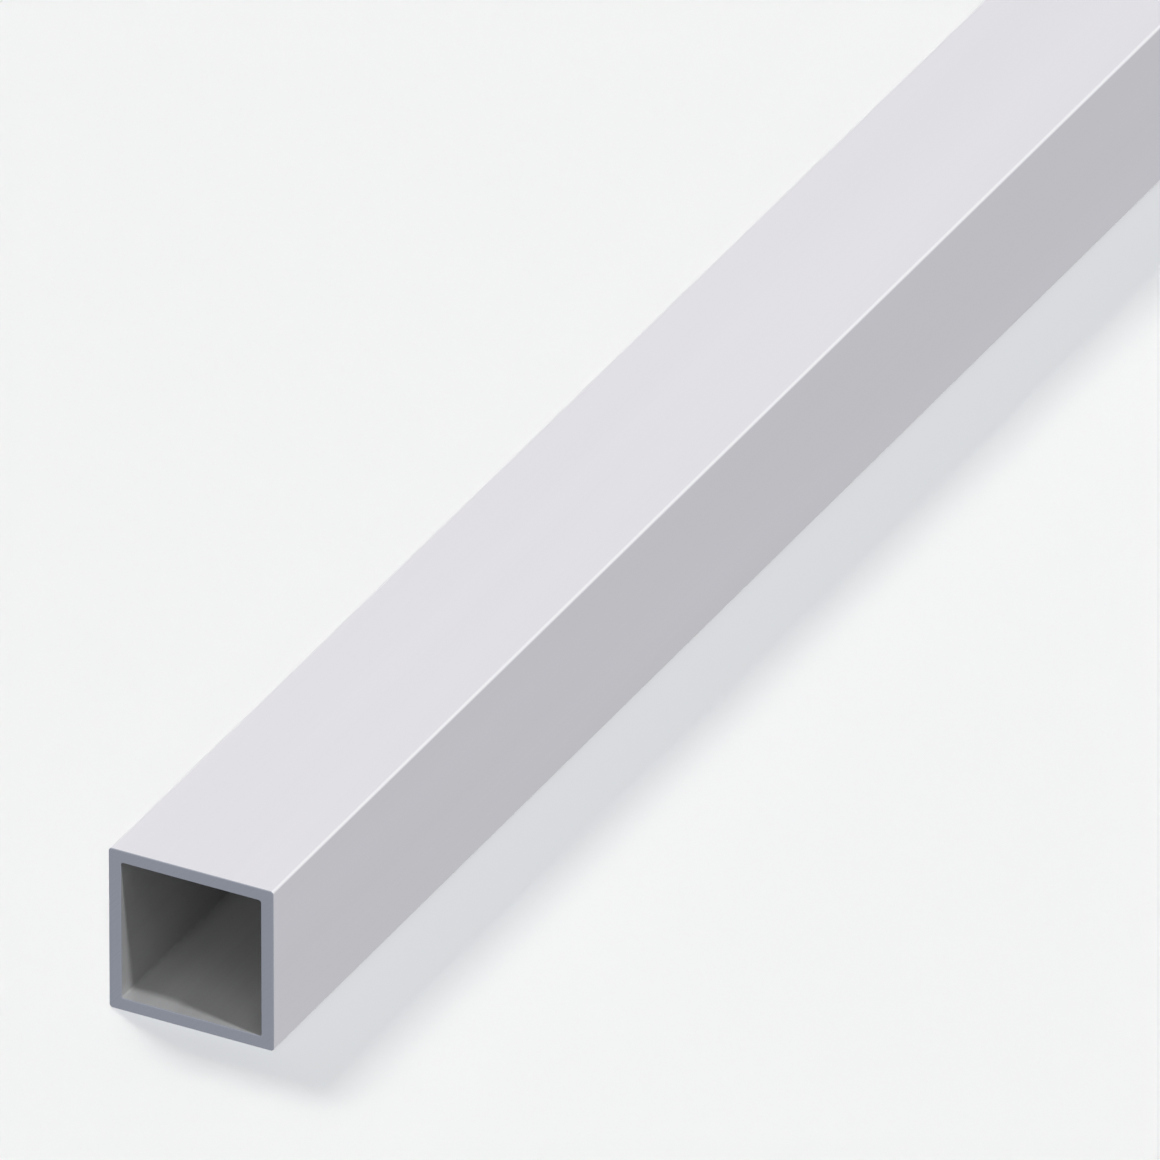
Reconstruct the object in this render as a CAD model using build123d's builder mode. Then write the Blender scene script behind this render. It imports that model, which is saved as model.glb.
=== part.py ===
from build123d import *
import os

# A length of extruded aluminium square tube, sawn off at both ends.
# It lies on one of its four flat sides, with its length along Y and its width along X.
# The origin is in the middle of the underside and Z is up. Sizes are in millimetres.

# Extruded section
side = 20.0  # width and height over the outside
wall = 1.5  # the same on all four sides
outer_corner_radius = 0.4
inner_corner_radius = 0.3

# Cut length
tube_length = 1000.0
edge_break = 0.15  # chamfer that deburring leaves round the outer and inner rim of each end

# The hollow is what the walls leave of the side
bore = side - 2 * wall

# Plane of the rear cut, at the middle of the section, facing the front cut
rear_cut = Plane(origin=(0, tube_length / 2, side / 2), x_dir=(1, 0, 0), z_dir=(0, -1, 0))

# The tube is one piece: the hollow section drawn out to its length, then both cuts deburred
with BuildPart() as square_tube:
    with BuildSketch(rear_cut) as section:
        RectangleRounded(side, side, outer_corner_radius)
        RectangleRounded(bore, bore, inner_corner_radius, mode=Mode.SUBTRACT)
    extrude(amount=tube_length)
    cut_faces = square_tube.faces().filter_by(Axis.Y)
    chamfer(cut_faces.edges(), length=edge_break)

square_tube.part.label = "square_tube"

os.makedirs("parts", exist_ok=True)
export_step(square_tube.part, "parts/square_tube.step")
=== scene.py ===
import math

import bpy
import numpy as np
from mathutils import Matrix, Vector


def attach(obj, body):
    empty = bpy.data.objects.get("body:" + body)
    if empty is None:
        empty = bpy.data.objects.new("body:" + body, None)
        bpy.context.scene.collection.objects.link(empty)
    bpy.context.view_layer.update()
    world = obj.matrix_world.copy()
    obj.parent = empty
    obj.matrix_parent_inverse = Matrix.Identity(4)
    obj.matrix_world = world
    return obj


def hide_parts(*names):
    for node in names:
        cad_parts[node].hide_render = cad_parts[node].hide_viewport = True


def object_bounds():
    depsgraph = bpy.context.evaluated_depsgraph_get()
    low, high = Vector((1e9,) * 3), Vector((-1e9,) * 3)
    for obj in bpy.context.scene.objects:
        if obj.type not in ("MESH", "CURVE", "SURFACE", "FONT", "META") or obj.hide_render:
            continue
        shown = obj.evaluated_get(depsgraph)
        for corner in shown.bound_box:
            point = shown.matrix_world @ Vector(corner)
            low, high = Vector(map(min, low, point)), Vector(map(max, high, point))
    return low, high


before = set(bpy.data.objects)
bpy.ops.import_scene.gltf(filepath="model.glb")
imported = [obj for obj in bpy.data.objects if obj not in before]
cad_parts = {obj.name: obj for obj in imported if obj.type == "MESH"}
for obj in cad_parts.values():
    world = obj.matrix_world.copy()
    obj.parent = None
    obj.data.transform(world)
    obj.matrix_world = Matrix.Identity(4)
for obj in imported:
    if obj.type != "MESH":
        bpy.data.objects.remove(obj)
cadLow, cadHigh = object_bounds()  # the CAD box, before anything is added
print("frame loaded, box", tuple(cadLow), tuple(cadHigh))

# The tube's own sizes, in metres. Its side, its length and its place come from the frame.
tube = {
    "wall": 0.0015,
    "outerRadius": 0.0004,
    "innerRadius": 0.0003,
    "rimRound": 0.0001,  # how far deburring takes the sharp rims down
    "cornerSteps": 12,  # quads round each of the four corners
    "flatSteps": 12,  # quads across each flat, closer together towards its corners
    "rimSteps": 4,  # quads round each deburred rim
    "cutSteps": 5,  # quads across the wall on a sawn end
    "lengthSteps": 48,  # quads along the tube, closer together towards its ends
}

# The finish of each stretch of the skin, as a place in the list of the tube's materials
finishes = {"outside": 0, "sawn": 1, "bore": 2}

# How the bake's picture is shared out: the strip of it that each stretch of the skin gets
bakeMap = {
    "outside": (0.01, 0.48),
    "bore": (0.50, 0.83),
    "rearCut": (0.85, 0.91),
    "frontCut": (0.93, 0.99),
    "margin": 0.01,
    "cornerShare": 0.15,  # extra width for each quad round the section, so that corners keep a few pixels
}


# Steps from 0 to 1 that lie closer together at both ends: half of one minus the cosine of half a turn.
def easedSteps(count):
    return (1 - np.cos(np.pi * np.linspace(0, 1, count + 1))) / 2


# A rounded square as one closed ring, seen from the front: four quarter circles, each moved out to its
# corner of the square that is left when the radius comes off all round, with straight steps between.
# It gives the points, the way out at each, and how near each is to the middle of a corner, from 0 to 1.
def roundedSquare(side, radius):
    along = np.linspace(0, 1, tube["cornerSteps"] + 1)
    quarter = np.arange(4)
    turn = (quarter[:, None] + along) * np.pi / 2
    out = np.stack([np.cos(turn), np.sin(turn)], axis=-1)
    diagonal = (quarter + 0.5) * np.pi / 2
    centre = (side / 2 - radius) * math.sqrt(2) * np.stack([np.cos(diagonal), np.sin(diagonal)], axis=-1)
    arc = centre[:, None] + radius * out
    share = easedSteps(tube["flatSteps"])[1:-1, None]
    nextArc = np.roll(arc, -1, axis=0)
    flat = arc[:, -1:] * (1 - share) + nextArc[:, :1] * share
    flatOut = np.repeat(out[:, -1:], len(share), axis=1)
    onArc = np.tile(np.sin(np.pi * along) ** 2, (4, 1))
    points = np.concatenate([arc, flat], axis=1).reshape(-1, 2)
    ways = np.concatenate([out, flatOut], axis=1).reshape(-1, 2)
    nearness = np.concatenate([onArc, np.zeros((4, len(share)))], axis=1).ravel()
    return points, ways, nearness


# The closed path that the section is carried along: back over the outside, over the rear cut, forward
# through the bore and over the front cut. At each stop it gives the share of the way from the outer
# ring to the inner one, how deep the point lies under its wall, the place along the length, how far
# the surface faces sideways and lengthways, and how near the stop is to the middle of a rim.
def lengthwisePath(front, rear):
    rimRound = tube["rimRound"]
    quarterTurn = np.linspace(0, np.pi / 2, tube["rimSteps"] + 1)
    run = front + rimRound + (rear - front - 2 * rimRound) * easedSteps(tube["lengthSteps"])
    across = np.linspace(0, 1, tube["cutSteps"] + 1)[1:-1]

    # One stretch of the path as six rows, in which a single number holds all along it
    def stretch(inward, depth, place, sideways, lengthways, rim):
        rows = np.broadcast_arrays(inward, depth, place, sideways, lengthways, rim)
        return np.stack([np.asarray(row, float) for row in rows])

    # A quarter circle over a rim: it sinks under the wall by one minus the cosine of its turn, and stands
    # back from the cut by one minus the sine, both times the rounding.
    def rimTurn(inner, end, outwards):
        way = -1 if inner else 1
        depth = rimRound * (1 - np.cos(outwards))
        place = end + np.sign(end) * rimRound * (np.sin(outwards) - 1)
        facingEnd = np.sign(end) * np.sin(outwards)
        return stretch(inner, depth, place, way * np.cos(outwards), facingEnd, np.sin(2 * outwards))

    stretches = [
        stretch(0, 0, run, 1, 0, 0),
        rimTurn(0, rear, quarterTurn[1:]),
        stretch(across, rimRound, rear, 0, 1, 0),
        rimTurn(1, rear, quarterTurn[::-1]),
        stretch(1, 0, run[::-1][1:], -1, 0, 0),
        rimTurn(1, front, quarterTurn[1:]),
        stretch(across[::-1], rimRound, front, 0, -1, 0),
        rimTurn(0, front, quarterTurn[::-1][:-1]),
    ]
    return np.concatenate(stretches, axis=1)


# The finish of the faces between each stop and the next: a run of the outside or of the bore lies
# level with its wall at both stops, and whatever is between the two is sawn or deburred.
def finishAlong(inward, depth):
    onOutside = (inward == 0) & (depth == 0)
    onBore = (inward == 1) & (depth == 0)
    finish = np.full(len(inward), finishes["sawn"], np.int32)
    finish[onOutside & np.roll(onOutside, -1)] = finishes["outside"]
    finish[onBore & np.roll(onBore, -1)] = finishes["bore"]
    return finish


# The whole skin of the tube as one closed surface of two parameters, round the section and along the
# closed path. A point is the outer ring pulled in by its depth, mixed with the inner ring pushed out
# by it, at its place along the length, and its normal is the ring's way out turned over the rims. Its
# wear-and-sheen share is how near it is to the middle of a corner or of a rim, whichever is nearer; on
# the outside's corners it marks rubbed wear and also paints a highlight along them.
def buildTube(low, high):
    side = high.x - low.x
    outer, ways, outerNear = roundedSquare(side, tube["outerRadius"])
    inner, _, _ = roundedSquare(side - 2 * tube["wall"], tube["innerRadius"])
    path = lengthwisePath(low.y, high.y)
    finish = finishAlong(path[0], path[1])
    inward, depth, place, sideways, lengthways, rim = (row[:, None] for row in path)
    ring = (1 - inward)[..., None] * (outer - depth[..., None] * ways)
    ring = ring + inward[..., None] * (inner + depth[..., None] * ways)
    middle = (low.z + high.z) / 2
    stops, count = ring.shape[:2]
    points = np.stack([ring[..., 0], np.broadcast_to(place, (stops, count)), ring[..., 1] + middle], axis=-1)
    normals = np.stack([
        sideways * ways[:, 0], np.broadcast_to(lengthways, (stops, count)), sideways * ways[:, 1]], axis=-1)
    wearAndSheen = np.maximum(outerNear * np.abs(sideways), rim)

    # Each face joins a point, the same point of the next stop, and the next points round at both stops
    stop, spot = np.meshgrid(np.arange(stops), np.arange(count), indexing="ij")
    row, nextRow = stop * count, (stop + 1) % stops * count
    nextSpot = (spot + 1) % count
    faces = np.stack([row + spot, nextRow + spot, nextRow + nextSpot, row + nextSpot], axis=-1)

    mesh = bpy.data.meshes.new("squareTube")
    mesh.from_pydata(points.reshape(-1, 3).tolist(), [], faces.reshape(-1, 4).tolist())
    mesh.polygons.foreach_set("material_index", np.repeat(finish, count))
    mesh.polygons.foreach_set("use_smooth", np.ones(stops * count, bool))
    wearAndSheenLayer = mesh.attributes.new("edgeWearAndSheen", "FLOAT", "POINT")
    wearAndSheenLayer.data.foreach_set("value", wearAndSheen.astype(np.float32).ravel())
    layBakeMap(mesh, points, finish)
    mesh.validate()
    mesh.normals_split_custom_set_from_vertices(normals.reshape(-1, 3).tolist())
    piece = bpy.data.objects.new("squareTube", mesh)
    bpy.context.scene.collection.objects.link(piece)
    return piece


# The map that the bake uses: the skin cut open along one corner and rolled out flat. A point's place
# round the section is the width of the quads up to it, and its place along a strip is the distance
# gone along the path, both as shares of the whole. The outside and the bore lie lengthways in the
# picture, and the two sawn ends with their rims lie crosswise.
def layBakeMap(mesh, points, finish):
    widths = np.linalg.norm(np.roll(points[0], -1, axis=0) - points[0], axis=1)
    widths = widths + widths.mean() * bakeMap["cornerShare"]
    around = np.concatenate([[0], np.cumsum(widths)]) / widths.sum()
    middleOfFlat = tube["cornerSteps"] + tube["flatSteps"] // 2
    along = points[:, middleOfFlat]
    steps = np.linalg.norm(np.roll(along, -1, axis=0) - along, axis=1)
    gone = np.cumsum(steps) - steps
    place = along[:, 1]
    strips = {
        "outside": finish == finishes["outside"],
        "bore": finish == finishes["bore"],
        "rearCut": (finish == finishes["sawn"]) & (place > 0),
        "frontCut": (finish == finishes["sawn"]) & (place < 0),
    }
    margin = bakeMap["margin"]
    corners = np.zeros((*points.shape[:2], 4, 2))
    cornerOrder = ((0, 0), (1, 0), (1, 1), (0, 1))  # of each face: at the next stop, at the next point round
    for name, inStrip in strips.items():
        low, high = bakeMap[name]
        start = gone[inStrip][0]
        whole = steps[inStrip].sum()
        crosswise = name in ("rearCut", "frontCut")
        for corner, (ahead, beside) in enumerate(cornerOrder):
            alongShare = (gone + ahead * steps - start)[inStrip, None] / whole
            aroundShare = around[beside:len(around) - 1 + beside]
            longShare, shortShare = (aroundShare, alongShare) if crosswise else (alongShare, aroundShare)
            corners[inStrip, :, corner, 0] = margin + (1 - 2 * margin) * longShare
            corners[inStrip, :, corner, 1] = low + (high - low) * shortShare
    layer = mesh.uv_layers.new(name="OFBake")
    layer.uv.foreach_set("vector", corners.astype(np.float32).ravel())


# What the finishes share. Noise keeps near the middle of its range, so each finish runs from one end to
# the other within a narrower spread of it.
driftSpread = (0.35, 0.65)
markSpread = (0.3, 0.7)
markDepth = 0.00001  # metres, for a mark at full strength
columnWidth, rowHeight = 220, 240  # between the nodes, as the editor shows them


# One node with its plain values set, placed in a column and a row so that the tree can be read
def addNode(tree, kind, column, row, **values):
    node = tree.nodes.new(kind)
    node.location = (column * columnWidth, -row * rowHeight)
    for name, value in values.items():
        setattr(node, name, value)
    return node


# Values set on a node's own sockets, with an underscore for each space in a socket's name
def setInputs(node, **values):
    for name, value in values.items():
        node.inputs[name.replace("_", " ")].default_value = value
    return node


# Noise on the piece's own coordinates, stretched by a scale along each axis
def stretchedNoise(tree, row, scale, detail, roughness=0.5):
    place = addNode(tree, "ShaderNodeTexCoord", 0, row)
    stretch = setInputs(addNode(tree, "ShaderNodeMapping", 1, row), Scale=scale)
    noise = addNode(tree, "ShaderNodeTexNoise", 2, row)
    setInputs(noise, Scale=1.0, Detail=detail, Roughness=roughness)
    tree.links.new(place.outputs["Object"], stretch.inputs["Vector"])
    tree.links.new(stretch.outputs["Vector"], noise.inputs["Vector"])
    return noise.outputs["Fac"]


# A value moved from one range to another in a straight line, and held at the ends of the new one
def mapRange(tree, source, column, row, fromRange, toRange=(0.0, 1.0)):
    node = addNode(tree, "ShaderNodeMapRange", column, row)
    names = ("From Min", "From Max", "To Min", "To Max")
    for name, value in zip(names, fromRange + toRange):
        node.inputs[name].default_value = value
    tree.links.new(source, node.inputs["Value"])
    return node.outputs["Result"]


# Two colours mixed by a share, where each is either written out or comes from another node
def mixColours(tree, share, column, row, first, second):
    node = addNode(tree, "ShaderNodeMix", column, row, data_type="RGBA")
    tree.links.new(share, node.inputs["Factor"])
    for socket, colour in ((node.inputs[6], first), (node.inputs[7], second)):
        if isinstance(colour, tuple):
            socket.default_value = (*colour, 1)
        else:
            tree.links.new(colour, socket)
    return node.outputs[2]


# A new material, with its shader and its output to the right of the columns that feed them
def newFinish(name, metallic):
    material = bpy.data.materials.new(name)
    material.use_nodes = True
    tree = material.node_tree
    shader = tree.nodes["Principled BSDF"]
    shader.location = (6 * columnWidth, 0)
    tree.nodes["Material Output"].location = (8 * columnWidth, 0)
    shader.inputs["Metallic"].default_value = metallic
    return material, tree, shader


# Heights laid over each other, each with its own strength
def addBumps(tree, shader, bumps):
    before = None
    for row, (height, strength) in enumerate(bumps):
        bump = setInputs(addNode(tree, "ShaderNodeBump", 5, 3 + row), Strength=strength, Distance=markDepth)
        tree.links.new(height, bump.inputs["Height"])
        if before is not None:
            tree.links.new(before, bump.inputs["Normal"])
        before = bump.outputs["Normal"]
    tree.links.new(before, shader.inputs["Normal"])


# The satin anodised outside: faint lines that the die drew along the length, an etched grain and slow
# drifts of tone, with the corners paler and smoother: partly rubbed wear, partly a painted highlight along
# them
anodised = {
    "metallic": 0.5,
    "pale": (0.656, 0.653, 0.700),
    "dull": (0.644, 0.642, 0.687),
    # painted highlight: this paler corner colour stands partly for rubbed wear and partly for the light
    # along the corners
    "rubbedAndSheen": (0.900, 0.900, 0.930),
    "roughness": (0.37, 0.43),
    "rubbedRoughness": 0.34,
    "lineScale": (2600, 3, 2600),  # noise cells per metre across and along
    "driftScale": (130, 9, 130),
    "grainScale": (9000, 9000, 9000),
    "lineBump": 0.10,
    "grainBump": 0.10,
}


def anodisedFinish():
    material, tree, shader = newFinish("satinAnodised", anodised["metallic"])
    lines = stretchedNoise(tree, 0, anodised["lineScale"], detail=2.0)
    drift = stretchedNoise(tree, 1, anodised["driftScale"], detail=1.0)
    grain = stretchedNoise(tree, 2, anodised["grainScale"], detail=1.0)
    wearAndSheen = addNode(tree, "ShaderNodeAttribute", 2, 3, attribute_name="edgeWearAndSheen").outputs["Fac"]
    toneShare = mapRange(tree, drift, 3, 0, driftSpread)
    tone = mixColours(tree, toneShare, 4, 0, anodised["dull"], anodised["pale"])
    # the corners are mixed towards the paler colour: rubbed wear and a painted highlight
    rubbedAndSheen = mixColours(tree, wearAndSheen, 5, 0, tone, anodised["rubbedAndSheen"])
    tree.links.new(rubbedAndSheen, shader.inputs["Base Color"])
    satin = mapRange(tree, lines, 3, 1, markSpread, anodised["roughness"])
    rubbing = addNode(tree, "ShaderNodeMix", 4, 1, data_type="FLOAT")
    rubbing.inputs["B"].default_value = anodised["rubbedRoughness"]
    tree.links.new(wearAndSheen, rubbing.inputs["Factor"])
    tree.links.new(satin, rubbing.inputs["A"])
    tree.links.new(rubbing.outputs["Result"], shader.inputs["Roughness"])
    addBumps(tree, shader, [(grain, anodised["grainBump"]), (lines, anodised["lineBump"])])
    return material


# The sawn ends: bare bluish metal with the fine arcs that the blade's teeth left, rings about the
# place where the saw's spindle stood
sawn = {
    "metallic": 0.25,
    "pale": (0.320, 0.344, 0.409),
    "dull": (0.285, 0.307, 0.364),
    "rubbedAndSheen": (0.310, 0.330, 0.382),
    "roughness": (0.60, 0.75),
    "spindle": (0.11, 0.0, -0.09),  # metres from the tube's origin, in the plane of the cut
    "ringScale": 5200,  # tooth marks per metre outwards from the spindle
    "ringBump": 0.2,
}


def sawnFinish():
    material, tree, shader = newFinish("sawnEnd", sawn["metallic"])
    place = addNode(tree, "ShaderNodeTexCoord", 0, 0)
    flatten = addNode(tree, "ShaderNodeVectorMath", 1, 0, operation="MULTIPLY")
    flatten.inputs[1].default_value = (1, 0, 1)
    reach = addNode(tree, "ShaderNodeVectorMath", 2, 0, operation="DISTANCE")
    reach.inputs[1].default_value = sawn["spindle"]
    tree.links.new(place.outputs["Object"], flatten.inputs[0])
    tree.links.new(flatten.outputs["Vector"], reach.inputs[0])
    marks = addNode(tree, "ShaderNodeTexNoise", 3, 0, noise_dimensions="1D")
    setInputs(marks, Scale=sawn["ringScale"], Detail=3.0, Roughness=0.6)
    tree.links.new(reach.outputs["Value"], marks.inputs["W"])
    wearAndSheen = addNode(tree, "ShaderNodeAttribute", 3, 2, attribute_name="edgeWearAndSheen").outputs["Fac"]
    toneShare = mapRange(tree, marks.outputs["Fac"], 4, 0, markSpread)
    tone = mixColours(tree, toneShare, 5, 0, sawn["dull"], sawn["pale"])
    rubbedAndSheen = mixColours(tree, wearAndSheen, 5, 1, tone, sawn["rubbedAndSheen"])
    tree.links.new(rubbedAndSheen, shader.inputs["Base Color"])
    matt = mapRange(tree, marks.outputs["Fac"], 4, 1, markSpread, sawn["roughness"])
    tree.links.new(matt, shader.inputs["Roughness"])
    addBumps(tree, shader, [(marks.outputs["Fac"], sawn["ringBump"])])
    return material


# The bore: duller than the outside and darker, which paints the shade inside it, with plainer lines along
# the length
bore = {
    "metallic": 0.4,
    # painted shade: both tones are darker than the outside's, for the shade that falls inside the tube
    "pale": (0.526, 0.529, 0.535),
    "dull": (0.482, 0.485, 0.491),
    "roughness": (0.45, 0.60),
    "lineScale": (1800, 4, 1800),
    "driftScale": (200, 12, 200),
    "lineBump": 0.3,
}


def boreFinish():
    material, tree, shader = newFinish("boreWithPaintedShade", bore["metallic"])
    lines = stretchedNoise(tree, 0, bore["lineScale"], detail=3.0, roughness=0.6)
    drift = stretchedNoise(tree, 1, bore["driftScale"], detail=2.0)
    toneShare = mapRange(tree, drift, 3, 0, driftSpread)
    # the darker tones paint the shade inside the tube
    tone = mixColours(tree, toneShare, 4, 0, bore["dull"], bore["pale"])
    tree.links.new(tone, shader.inputs["Base Color"])
    matt = mapRange(tree, lines, 3, 1, markSpread, bore["roughness"])
    tree.links.new(matt, shader.inputs["Roughness"])
    addBumps(tree, shader, [(lines, bore["lineBump"])])
    return material


squareTube = buildTube(cadLow, cadHigh)
for makeFinish in (anodisedFinish, sawnFinish, boreFinish):  # in the order of their places in finishes
    squareTube.data.materials.append(makeFinish())
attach(squareTube, "root")
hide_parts("square_tube")
print("tube built,", len(squareTube.data.polygons), "faces")

# The floor, pale and even, with a faint mottle like that of heavy paper
floorLook = {
    "reach": 150.0,  # metres each way
    "pale": (0.888, 0.888, 0.888),
    "dull": (0.882, 0.882, 0.882),
    "mottleScale": (6.0, 6.0, 6.0),  # noise cells per metre
}


def buildFloor():
    reach = floorLook["reach"]
    corners = [(-reach, -reach, 0), (reach, -reach, 0), (reach, reach, 0), (-reach, reach, 0)]
    mesh = bpy.data.meshes.new("paleFloor")
    mesh.from_pydata(corners, [], [(0, 1, 2, 3)])
    floor = bpy.data.objects.new("paleFloor", mesh)
    bpy.context.scene.collection.objects.link(floor)
    material, tree, shader = newFinish("palePaper", 0.0)
    mottle = stretchedNoise(tree, 0, floorLook["mottleScale"], detail=3.0)
    toneShare = mapRange(tree, mottle, 3, 0, driftSpread)
    tone = mixColours(tree, toneShare, 4, 0, floorLook["dull"], floorLook["pale"])
    tree.links.new(tone, shader.inputs["Base Color"])
    setInputs(shader, Roughness=1.0, Specular_IOR_Level=0.0)  # no shine, so it looks the same from all sides
    mesh.materials.append(material)
    # The tube takes its light from the lamps and the room alone, without its own shadow on the floor
    floor.visible_diffuse = False
    floor.visible_glossy = False
    return floor


paleFloor = buildFloor()

# Daylight lamps, so that the light is the same along the whole length. Each direction points from the
# tube to the lamp, and each width is how wide the lamp looks from there, in degrees. A lamp for the floor
# or for the tube lights that alone, which keeps the floor even. One without shine gives matt light only,
# so the metal doesn't mirror it.
lamps = {
    "overFloor": {
        "towards": (0, 0, 1), "strength": 2.10, "width": 1.0, "colour": (0.947, 0.97, 1.0), "on": "floor"},
    "softLeft": {
        "towards": (-0.470, 0.284, 0.836), "strength": 1.00, "width": 15.0, "colour": (0.975, 0.93, 0.86),
        "on": "both"},
    "crispRight": {"towards": (0.5915, -0.1055, 0.7994), "strength": 1.87, "width": 4.0, "on": "tube"},
    "wideFront": {"towards": (0, -1, 0.35), "strength": 1.20, "width": 110.0, "on": "tube", "shine": False},
    "deepFront": {"towards": (0, -0.86, 0.5), "strength": 0.65, "width": 10.0, "on": "tube", "shine": False},
    "steepRight": {
        "towards": (0.45, -0.45, 0.8), "strength": 0.18, "width": 20.0, "on": "tube", "shine": False},
}
ambient = 0.12  # what the room sends onto matt surfaces
paleRoom = (0.880, 0.880, 0.880)  # what the camera and the metal see beyond the floor


def addLamps(pieces):
    for name, lamp in lamps.items():
        data = bpy.data.lights.new(name, "SUN")
        data.energy = lamp["strength"]
        data.angle = math.radians(lamp["width"])
        data.color = lamp.get("colour", (1, 1, 1))
        sun = bpy.data.objects.new(name, data)
        sun.rotation_euler = Vector(lamp["towards"]).to_track_quat("Z", "Y").to_euler()
        sun.visible_glossy = lamp.get("shine", True)
        bpy.context.scene.collection.objects.link(sun)
        if lamp["on"] == "both":
            continue
        only = bpy.data.collections.new("litBy" + name)
        only.objects.link(pieces[lamp["on"]])
        sun.light_linking.receiver_collection = only
        sun.light_linking.blocker_collection = only


# The room as a pale surround for the camera and for the metal's shine, and as weak even light for the rest
def buildRoom():
    world = bpy.data.worlds.new("paleRoom")
    bpy.context.scene.world = world
    world.use_nodes = True
    tree = world.node_tree
    seen = tree.nodes["Background"]
    seen.inputs["Color"].default_value = (*paleRoom, 1)
    lit = addNode(tree, "ShaderNodeBackground", 0, 2)
    lit.inputs["Color"].default_value = (1, 1, 1, 1)
    lit.inputs["Strength"].default_value = ambient
    rays = addNode(tree, "ShaderNodeLightPath", -2, 0)
    share = None
    for ray in ("Is Camera Ray", "Is Glossy Ray", "Is Transmission Ray"):
        if share is None:
            share = rays.outputs[ray]
            continue
        either = addNode(tree, "ShaderNodeMath", -1, 0, operation="MAXIMUM")
        tree.links.new(share, either.inputs[0])
        tree.links.new(rays.outputs[ray], either.inputs[1])
        share = either.outputs["Value"]
    choose = addNode(tree, "ShaderNodeMixShader", 1, 0)
    tree.links.new(share, choose.inputs["Fac"])
    tree.links.new(lit.outputs["Background"], choose.inputs[1])
    tree.links.new(seen.outputs["Background"], choose.inputs[2])
    tree.links.new(choose.outputs["Shader"], tree.nodes["World Output"].inputs["Surface"])


addLamps({"tube": squareTube, "floor": paleFloor})
buildRoom()
print("floor, lamps and room in place")

# The camera stands far back with a long lens, so that the picture has almost no perspective
view = {
    "azimuth": 27.7354,
    "elevation": 30.8584,
    "lens": 1600.0,  # millimetres, on a 36 mm sensor
    "distance": 5.5328,  # metres to the plane of the aim point
    "aimRight": 0.041740,  # metres from the middle of the front cut to the middle of the picture
    "aimUp": 0.039663,
    "clip": (1.0, 100.0),  # metres between which the camera sees
}


def addCamera(low, high):
    azimuth, elevation = math.radians(view["azimuth"]), math.radians(view["elevation"])
    outwards = math.cos(elevation)
    back = Vector((math.sin(azimuth) * outwards, -math.cos(azimuth) * outwards, math.sin(elevation)))
    right = Vector((math.cos(azimuth), math.sin(azimuth), 0))
    up = back.cross(right)
    frontMiddle = Vector(((low.x + high.x) / 2, low.y, (low.z + high.z) / 2))
    data = bpy.data.cameras.new("longLens")
    data.lens = view["lens"]
    data.clip_start, data.clip_end = view["clip"]
    camera = bpy.data.objects.new("longLens", data)
    camera.rotation_mode = "QUATERNION"
    camera.rotation_quaternion = back.to_track_quat("Z", "Y")
    camera.location = frontMiddle + right * view["aimRight"] + up * view["aimUp"] + back * view["distance"]
    bpy.context.scene.collection.objects.link(camera)
    bpy.context.scene.camera = camera


addCamera(cadLow, cadHigh)
bpy.context.scene.cycles.caustics_reflective = False  # the metal throws no patches of light on the floor
bpy.context.scene.view_settings.view_transform = "Standard"
print("camera set")
